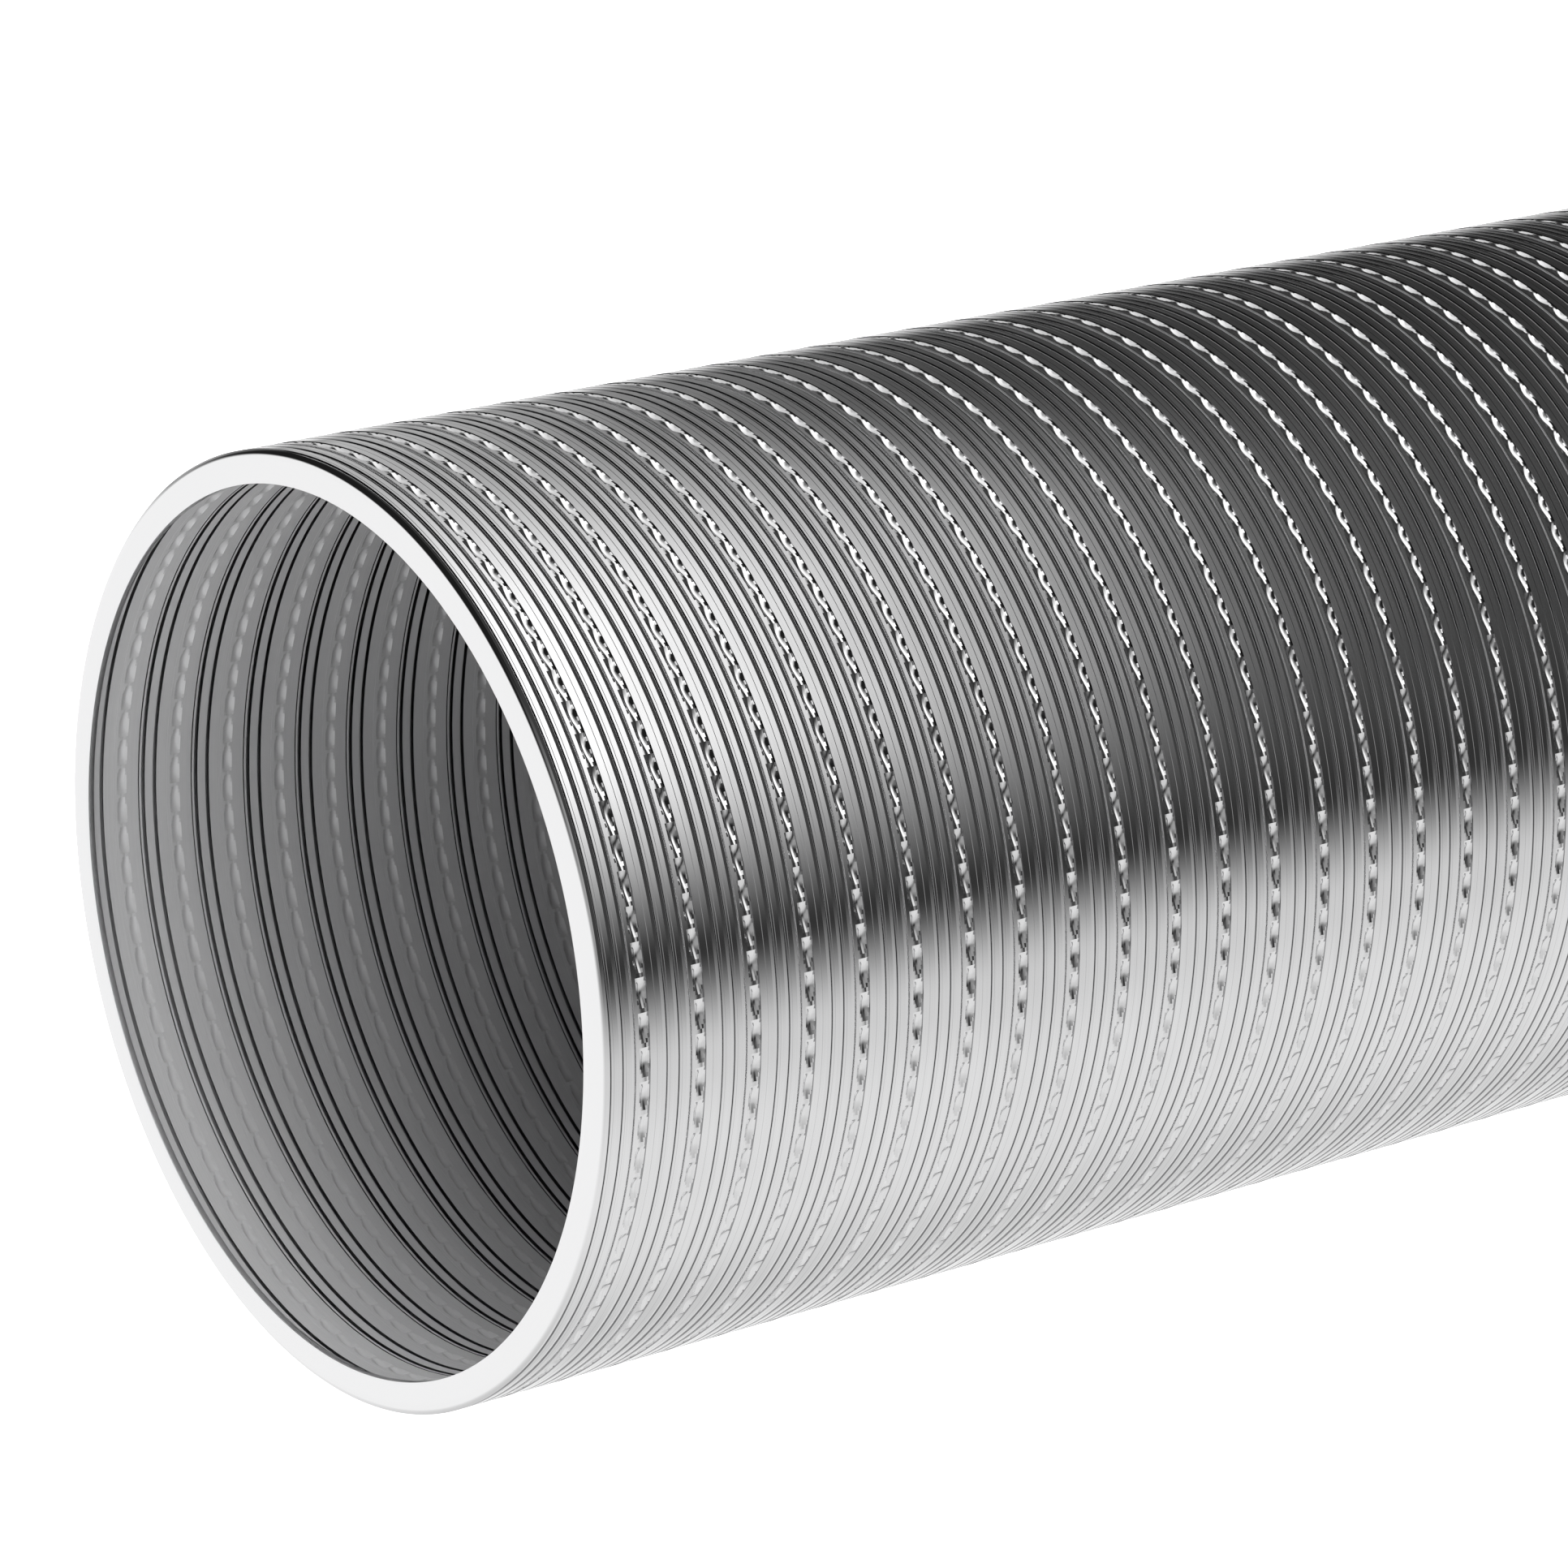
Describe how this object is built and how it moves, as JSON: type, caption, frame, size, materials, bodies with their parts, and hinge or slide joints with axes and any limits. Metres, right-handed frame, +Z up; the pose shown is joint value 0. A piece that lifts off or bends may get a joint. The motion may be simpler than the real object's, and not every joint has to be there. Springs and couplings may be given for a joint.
{
  "type": "flexible air duct",
  "caption": "Semi-rigid corrugated aluminium foil air duct, pushed together, with dented lock seam bands and a flat ring at each end.",
  "frame": {"origin": "centre of the front end ring's opening, on its flat outer face", "axes": "+X along the duct from the front ring to the rear ring, +Y to the left seen from the front, +Z up"},
  "size_m": [0.3264, 0.172, 0.172],
  "materials": {
    "polished_ring": "polished sheet, clean and almost mirror smooth",
    "knurled_seam": "bright rolled foil, folded into a lock seam and dented all round",
    "pleated_foil": "bright rolled foil, pleated, with fine rolling lines"
  },
  "bodies": {
    "front_ring": {"front_end_ring": "polished_ring"},
    "web_01": {"pleated_web_01": "pleated_foil"},
    "web_02": {"pleated_web_02": "pleated_foil"},
    "web_03": {"pleated_web_03": "pleated_foil"},
    "web_04": {"pleated_web_04": "pleated_foil"},
    "web_05": {"pleated_web_05": "pleated_foil"},
    "web_06": {"pleated_web_06": "pleated_foil"},
    "web_07": {"pleated_web_07": "pleated_foil"},
    "web_08": {"pleated_web_08": "pleated_foil"},
    "web_09": {"pleated_web_09": "pleated_foil"},
    "web_10": {"pleated_web_10": "pleated_foil"},
    "web_11": {"pleated_web_11": "pleated_foil"},
    "web_12": {"pleated_web_12": "pleated_foil"},
    "web_13": {"pleated_web_13": "pleated_foil"},
    "web_14": {"pleated_web_14": "pleated_foil"},
    "web_15": {"pleated_web_15": "pleated_foil"},
    "web_16": {"pleated_web_16": "pleated_foil"},
    "web_17": {"pleated_web_17": "pleated_foil"},
    "web_18": {"pleated_web_18": "pleated_foil"},
    "web_19": {"pleated_web_19": "pleated_foil"},
    "web_20": {"pleated_web_20": "pleated_foil"},
    "web_21": {"pleated_web_21": "pleated_foil"},
    "web_22": {"pleated_web_22": "pleated_foil"},
    "web_23": {"pleated_web_23": "pleated_foil"},
    "web_24": {"pleated_web_24": "pleated_foil"},
    "web_25": {"pleated_web_25": "pleated_foil"},
    "web_26": {"pleated_web_26": "pleated_foil"},
    "web_27": {"pleated_web_27": "pleated_foil"},
    "web_28": {"pleated_web_28": "pleated_foil"},
    "web_29": {"pleated_web_29": "pleated_foil"},
    "seam_01": {"lock_seam_01": "knurled_seam"},
    "seam_02": {"lock_seam_02": "knurled_seam"},
    "seam_03": {"lock_seam_03": "knurled_seam"},
    "seam_04": {"lock_seam_04": "knurled_seam"},
    "seam_05": {"lock_seam_05": "knurled_seam"},
    "seam_06": {"lock_seam_06": "knurled_seam"},
    "seam_07": {"lock_seam_07": "knurled_seam"},
    "seam_08": {"lock_seam_08": "knurled_seam"},
    "seam_09": {"lock_seam_09": "knurled_seam"},
    "seam_10": {"lock_seam_10": "knurled_seam"},
    "seam_11": {"lock_seam_11": "knurled_seam"},
    "seam_12": {"lock_seam_12": "knurled_seam"},
    "seam_13": {"lock_seam_13": "knurled_seam"},
    "seam_14": {"lock_seam_14": "knurled_seam"},
    "seam_15": {"lock_seam_15": "knurled_seam"},
    "seam_16": {"lock_seam_16": "knurled_seam"},
    "seam_17": {"lock_seam_17": "knurled_seam"},
    "seam_18": {"lock_seam_18": "knurled_seam"},
    "seam_19": {"lock_seam_19": "knurled_seam"},
    "seam_20": {"lock_seam_20": "knurled_seam"},
    "seam_21": {"lock_seam_21": "knurled_seam"},
    "seam_22": {"lock_seam_22": "knurled_seam"},
    "seam_23": {"lock_seam_23": "knurled_seam"},
    "seam_24": {"lock_seam_24": "knurled_seam"},
    "seam_25": {"lock_seam_25": "knurled_seam"},
    "seam_26": {"lock_seam_26": "knurled_seam"},
    "seam_27": {"lock_seam_27": "knurled_seam"},
    "seam_28": {"lock_seam_28": "knurled_seam"},
    "rear_ring": {"rear_end_ring": "polished_ring"}
  },
  "joints": [
    {"name": "stretch", "type": "slide", "parent": "front_ring", "child": "web_01", "axis": [1, 0, 0], "range_m": [0, 0.012]},
    {"name": "front_bend", "type": "hinge", "parent": "web_01", "child": "seam_01", "pos_m": [0.00645, 0.086, 0], "axis": [0, 0, 1], "range_deg": [0, 3.9]},
    {"name": "stretch_02", "type": "slide", "parent": "seam_01", "child": "web_02", "axis": [1, 0, 0], "range_m": [0, 0.012]},
    {"name": "front_bend_02", "type": "hinge", "parent": "web_02", "child": "seam_02", "pos_m": [0.01785, 0.086, 0], "axis": [0, 0, 1], "range_deg": [0, 3.9]},
    {"name": "stretch_03", "type": "slide", "parent": "seam_02", "child": "web_03", "axis": [1, 0, 0], "range_m": [0, 0.012]},
    {"name": "front_bend_03", "type": "hinge", "parent": "web_03", "child": "seam_03", "pos_m": [0.02925, 0.086, 0], "axis": [0, 0, 1], "range_deg": [0, 3.9]},
    {"name": "stretch_04", "type": "slide", "parent": "seam_03", "child": "web_04", "axis": [1, 0, 0], "range_m": [0, 0.012]},
    {"name": "front_bend_04", "type": "hinge", "parent": "web_04", "child": "seam_04", "pos_m": [0.04065, 0.086, 0], "axis": [0, 0, 1], "range_deg": [0, 3.9]},
    {"name": "stretch_05", "type": "slide", "parent": "seam_04", "child": "web_05", "axis": [1, 0, 0], "range_m": [0, 0.012]},
    {"name": "front_bend_05", "type": "hinge", "parent": "web_05", "child": "seam_05", "pos_m": [0.05205, 0.086, 0], "axis": [0, 0, 1], "range_deg": [0, 3.9]},
    {"name": "stretch_06", "type": "slide", "parent": "seam_05", "child": "web_06", "axis": [1, 0, 0], "range_m": [0, 0.012]},
    {"name": "front_bend_06", "type": "hinge", "parent": "web_06", "child": "seam_06", "pos_m": [0.06345, 0.086, 0], "axis": [0, 0, 1], "range_deg": [0, 3.9]},
    {"name": "stretch_07", "type": "slide", "parent": "seam_06", "child": "web_07", "axis": [1, 0, 0], "range_m": [0, 0.012]},
    {"name": "front_bend_07", "type": "hinge", "parent": "web_07", "child": "seam_07", "pos_m": [0.07485, 0.086, 0], "axis": [0, 0, 1], "range_deg": [0, 3.9]},
    {"name": "stretch_08", "type": "slide", "parent": "seam_07", "child": "web_08", "axis": [1, 0, 0], "range_m": [0, 0.012]},
    {"name": "front_bend_08", "type": "hinge", "parent": "web_08", "child": "seam_08", "pos_m": [0.08625, 0.086, 0], "axis": [0, 0, 1], "range_deg": [0, 3.9]},
    {"name": "stretch_09", "type": "slide", "parent": "seam_08", "child": "web_09", "axis": [1, 0, 0], "range_m": [0, 0.012]},
    {"name": "front_bend_09", "type": "hinge", "parent": "web_09", "child": "seam_09", "pos_m": [0.09765, 0.086, 0], "axis": [0, 0, 1], "range_deg": [0, 3.9]},
    {"name": "stretch_10", "type": "slide", "parent": "seam_09", "child": "web_10", "axis": [1, 0, 0], "range_m": [0, 0.012]},
    {"name": "front_bend_10", "type": "hinge", "parent": "web_10", "child": "seam_10", "pos_m": [0.10905, 0.086, 0], "axis": [0, 0, 1], "range_deg": [0, 3.9]},
    {"name": "stretch_11", "type": "slide", "parent": "seam_10", "child": "web_11", "axis": [1, 0, 0], "range_m": [0, 0.012]},
    {"name": "front_bend_11", "type": "hinge", "parent": "web_11", "child": "seam_11", "pos_m": [0.12045, 0.086, 0], "axis": [0, 0, 1], "range_deg": [0, 3.9]},
    {"name": "stretch_12", "type": "slide", "parent": "seam_11", "child": "web_12", "axis": [1, 0, 0], "range_m": [0, 0.012]},
    {"name": "front_bend_12", "type": "hinge", "parent": "web_12", "child": "seam_12", "pos_m": [0.13185, 0.086, 0], "axis": [0, 0, 1], "range_deg": [0, 3.9]},
    {"name": "stretch_13", "type": "slide", "parent": "seam_12", "child": "web_13", "axis": [1, 0, 0], "range_m": [0, 0.012]},
    {"name": "front_bend_13", "type": "hinge", "parent": "web_13", "child": "seam_13", "pos_m": [0.14325, 0.086, 0], "axis": [0, 0, 1], "range_deg": [0, 3.9]},
    {"name": "stretch_14", "type": "slide", "parent": "seam_13", "child": "web_14", "axis": [1, 0, 0], "range_m": [0, 0.012]},
    {"name": "front_bend_14", "type": "hinge", "parent": "web_14", "child": "seam_14", "pos_m": [0.15465, 0.086, 0], "axis": [0, 0, 1], "range_deg": [0, 3.9]},
    {"name": "stretch_15", "type": "slide", "parent": "seam_14", "child": "web_15", "axis": [1, 0, 0], "range_m": [0, 0.012]},
    {"name": "rear_bend", "type": "hinge", "parent": "web_15", "child": "seam_15", "pos_m": [0.16605, -0.086, 0], "axis": [0, 0, -1], "range_deg": [0, 3.9]},
    {"name": "stretch_16", "type": "slide", "parent": "seam_15", "child": "web_16", "axis": [1, 0, 0], "range_m": [0, 0.012]},
    {"name": "rear_bend_16", "type": "hinge", "parent": "web_16", "child": "seam_16", "pos_m": [0.17745, -0.086, 0], "axis": [0, 0, -1], "range_deg": [0, 3.9]},
    {"name": "stretch_17", "type": "slide", "parent": "seam_16", "child": "web_17", "axis": [1, 0, 0], "range_m": [0, 0.012]},
    {"name": "rear_bend_17", "type": "hinge", "parent": "web_17", "child": "seam_17", "pos_m": [0.18885, -0.086, 0], "axis": [0, 0, -1], "range_deg": [0, 3.9]},
    {"name": "stretch_18", "type": "slide", "parent": "seam_17", "child": "web_18", "axis": [1, 0, 0], "range_m": [0, 0.012]},
    {"name": "rear_bend_18", "type": "hinge", "parent": "web_18", "child": "seam_18", "pos_m": [0.20025, -0.086, 0], "axis": [0, 0, -1], "range_deg": [0, 3.9]},
    {"name": "stretch_19", "type": "slide", "parent": "seam_18", "child": "web_19", "axis": [1, 0, 0], "range_m": [0, 0.012]},
    {"name": "rear_bend_19", "type": "hinge", "parent": "web_19", "child": "seam_19", "pos_m": [0.21165, -0.086, 0], "axis": [0, 0, -1], "range_deg": [0, 3.9]},
    {"name": "stretch_20", "type": "slide", "parent": "seam_19", "child": "web_20", "axis": [1, 0, 0], "range_m": [0, 0.012]},
    {"name": "rear_bend_20", "type": "hinge", "parent": "web_20", "child": "seam_20", "pos_m": [0.22305, -0.086, 0], "axis": [0, 0, -1], "range_deg": [0, 3.9]},
    {"name": "stretch_21", "type": "slide", "parent": "seam_20", "child": "web_21", "axis": [1, 0, 0], "range_m": [0, 0.012]},
    {"name": "rear_bend_21", "type": "hinge", "parent": "web_21", "child": "seam_21", "pos_m": [0.23445, -0.086, 0], "axis": [0, 0, -1], "range_deg": [0, 3.9]},
    {"name": "stretch_22", "type": "slide", "parent": "seam_21", "child": "web_22", "axis": [1, 0, 0], "range_m": [0, 0.012]},
    {"name": "rear_bend_22", "type": "hinge", "parent": "web_22", "child": "seam_22", "pos_m": [0.24585, -0.086, 0], "axis": [0, 0, -1], "range_deg": [0, 3.9]},
    {"name": "stretch_23", "type": "slide", "parent": "seam_22", "child": "web_23", "axis": [1, 0, 0], "range_m": [0, 0.012]},
    {"name": "rear_bend_23", "type": "hinge", "parent": "web_23", "child": "seam_23", "pos_m": [0.25725, -0.086, 0], "axis": [0, 0, -1], "range_deg": [0, 3.9]},
    {"name": "stretch_24", "type": "slide", "parent": "seam_23", "child": "web_24", "axis": [1, 0, 0], "range_m": [0, 0.012]},
    {"name": "rear_bend_24", "type": "hinge", "parent": "web_24", "child": "seam_24", "pos_m": [0.26865, -0.086, 0], "axis": [0, 0, -1], "range_deg": [0, 3.9]},
    {"name": "stretch_25", "type": "slide", "parent": "seam_24", "child": "web_25", "axis": [1, 0, 0], "range_m": [0, 0.012]},
    {"name": "rear_bend_25", "type": "hinge", "parent": "web_25", "child": "seam_25", "pos_m": [0.28005, -0.086, 0], "axis": [0, 0, -1], "range_deg": [0, 3.9]},
    {"name": "stretch_26", "type": "slide", "parent": "seam_25", "child": "web_26", "axis": [1, 0, 0], "range_m": [0, 0.012]},
    {"name": "rear_bend_26", "type": "hinge", "parent": "web_26", "child": "seam_26", "pos_m": [0.29145, -0.086, 0], "axis": [0, 0, -1], "range_deg": [0, 3.9]},
    {"name": "stretch_27", "type": "slide", "parent": "seam_26", "child": "web_27", "axis": [1, 0, 0], "range_m": [0, 0.012]},
    {"name": "rear_bend_27", "type": "hinge", "parent": "web_27", "child": "seam_27", "pos_m": [0.30285, -0.086, 0], "axis": [0, 0, -1], "range_deg": [0, 3.9]},
    {"name": "stretch_28", "type": "slide", "parent": "seam_27", "child": "web_28", "axis": [1, 0, 0], "range_m": [0, 0.012]},
    {"name": "rear_bend_28", "type": "hinge", "parent": "web_28", "child": "seam_28", "pos_m": [0.31425, -0.086, 0], "axis": [0, 0, -1], "range_deg": [0, 3.9]},
    {"name": "stretch_29", "type": "slide", "parent": "seam_28", "child": "web_29", "axis": [1, 0, 0], "range_m": [0, 0.012]},
    {"name": "rear_bend_29", "type": "hinge", "parent": "web_29", "child": "rear_ring", "pos_m": [0.32565, -0.086, 0], "axis": [0, 0, -1], "range_deg": [0, 3.9]}
  ],
  "couplings": [
    {"joint": "stretch_02", "follows": "stretch", "ratio": 1},
    {"joint": "front_bend_02", "follows": "front_bend", "ratio": 1},
    {"joint": "stretch_03", "follows": "stretch", "ratio": 1},
    {"joint": "front_bend_03", "follows": "front_bend", "ratio": 1},
    {"joint": "stretch_04", "follows": "stretch", "ratio": 1},
    {"joint": "front_bend_04", "follows": "front_bend", "ratio": 1},
    {"joint": "stretch_05", "follows": "stretch", "ratio": 1},
    {"joint": "front_bend_05", "follows": "front_bend", "ratio": 1},
    {"joint": "stretch_06", "follows": "stretch", "ratio": 1},
    {"joint": "front_bend_06", "follows": "front_bend", "ratio": 1},
    {"joint": "stretch_07", "follows": "stretch", "ratio": 1},
    {"joint": "front_bend_07", "follows": "front_bend", "ratio": 1},
    {"joint": "stretch_08", "follows": "stretch", "ratio": 1},
    {"joint": "front_bend_08", "follows": "front_bend", "ratio": 1},
    {"joint": "stretch_09", "follows": "stretch", "ratio": 1},
    {"joint": "front_bend_09", "follows": "front_bend", "ratio": 1},
    {"joint": "stretch_10", "follows": "stretch", "ratio": 1},
    {"joint": "front_bend_10", "follows": "front_bend", "ratio": 1},
    {"joint": "stretch_11", "follows": "stretch", "ratio": 1},
    {"joint": "front_bend_11", "follows": "front_bend", "ratio": 1},
    {"joint": "stretch_12", "follows": "stretch", "ratio": 1},
    {"joint": "front_bend_12", "follows": "front_bend", "ratio": 1},
    {"joint": "stretch_13", "follows": "stretch", "ratio": 1},
    {"joint": "front_bend_13", "follows": "front_bend", "ratio": 1},
    {"joint": "stretch_14", "follows": "stretch", "ratio": 1},
    {"joint": "front_bend_14", "follows": "front_bend", "ratio": 1},
    {"joint": "stretch_15", "follows": "stretch", "ratio": 1},
    {"joint": "stretch_16", "follows": "stretch", "ratio": 1},
    {"joint": "rear_bend_16", "follows": "rear_bend", "ratio": 1},
    {"joint": "stretch_17", "follows": "stretch", "ratio": 1},
    {"joint": "rear_bend_17", "follows": "rear_bend", "ratio": 1},
    {"joint": "stretch_18", "follows": "stretch", "ratio": 1},
    {"joint": "rear_bend_18", "follows": "rear_bend", "ratio": 1},
    {"joint": "stretch_19", "follows": "stretch", "ratio": 1},
    {"joint": "rear_bend_19", "follows": "rear_bend", "ratio": 1},
    {"joint": "stretch_20", "follows": "stretch", "ratio": 1},
    {"joint": "rear_bend_20", "follows": "rear_bend", "ratio": 1},
    {"joint": "stretch_21", "follows": "stretch", "ratio": 1},
    {"joint": "rear_bend_21", "follows": "rear_bend", "ratio": 1},
    {"joint": "stretch_22", "follows": "stretch", "ratio": 1},
    {"joint": "rear_bend_22", "follows": "rear_bend", "ratio": 1},
    {"joint": "stretch_23", "follows": "stretch", "ratio": 1},
    {"joint": "rear_bend_23", "follows": "rear_bend", "ratio": 1},
    {"joint": "stretch_24", "follows": "stretch", "ratio": 1},
    {"joint": "rear_bend_24", "follows": "rear_bend", "ratio": 1},
    {"joint": "stretch_25", "follows": "stretch", "ratio": 1},
    {"joint": "rear_bend_25", "follows": "rear_bend", "ratio": 1},
    {"joint": "stretch_26", "follows": "stretch", "ratio": 1},
    {"joint": "rear_bend_26", "follows": "rear_bend", "ratio": 1},
    {"joint": "stretch_27", "follows": "stretch", "ratio": 1},
    {"joint": "rear_bend_27", "follows": "rear_bend", "ratio": 1},
    {"joint": "stretch_28", "follows": "stretch", "ratio": 1},
    {"joint": "rear_bend_28", "follows": "rear_bend", "ratio": 1},
    {"joint": "stretch_29", "follows": "stretch", "ratio": 1},
    {"joint": "rear_bend_29", "follows": "rear_bend", "ratio": 1}
  ]
}
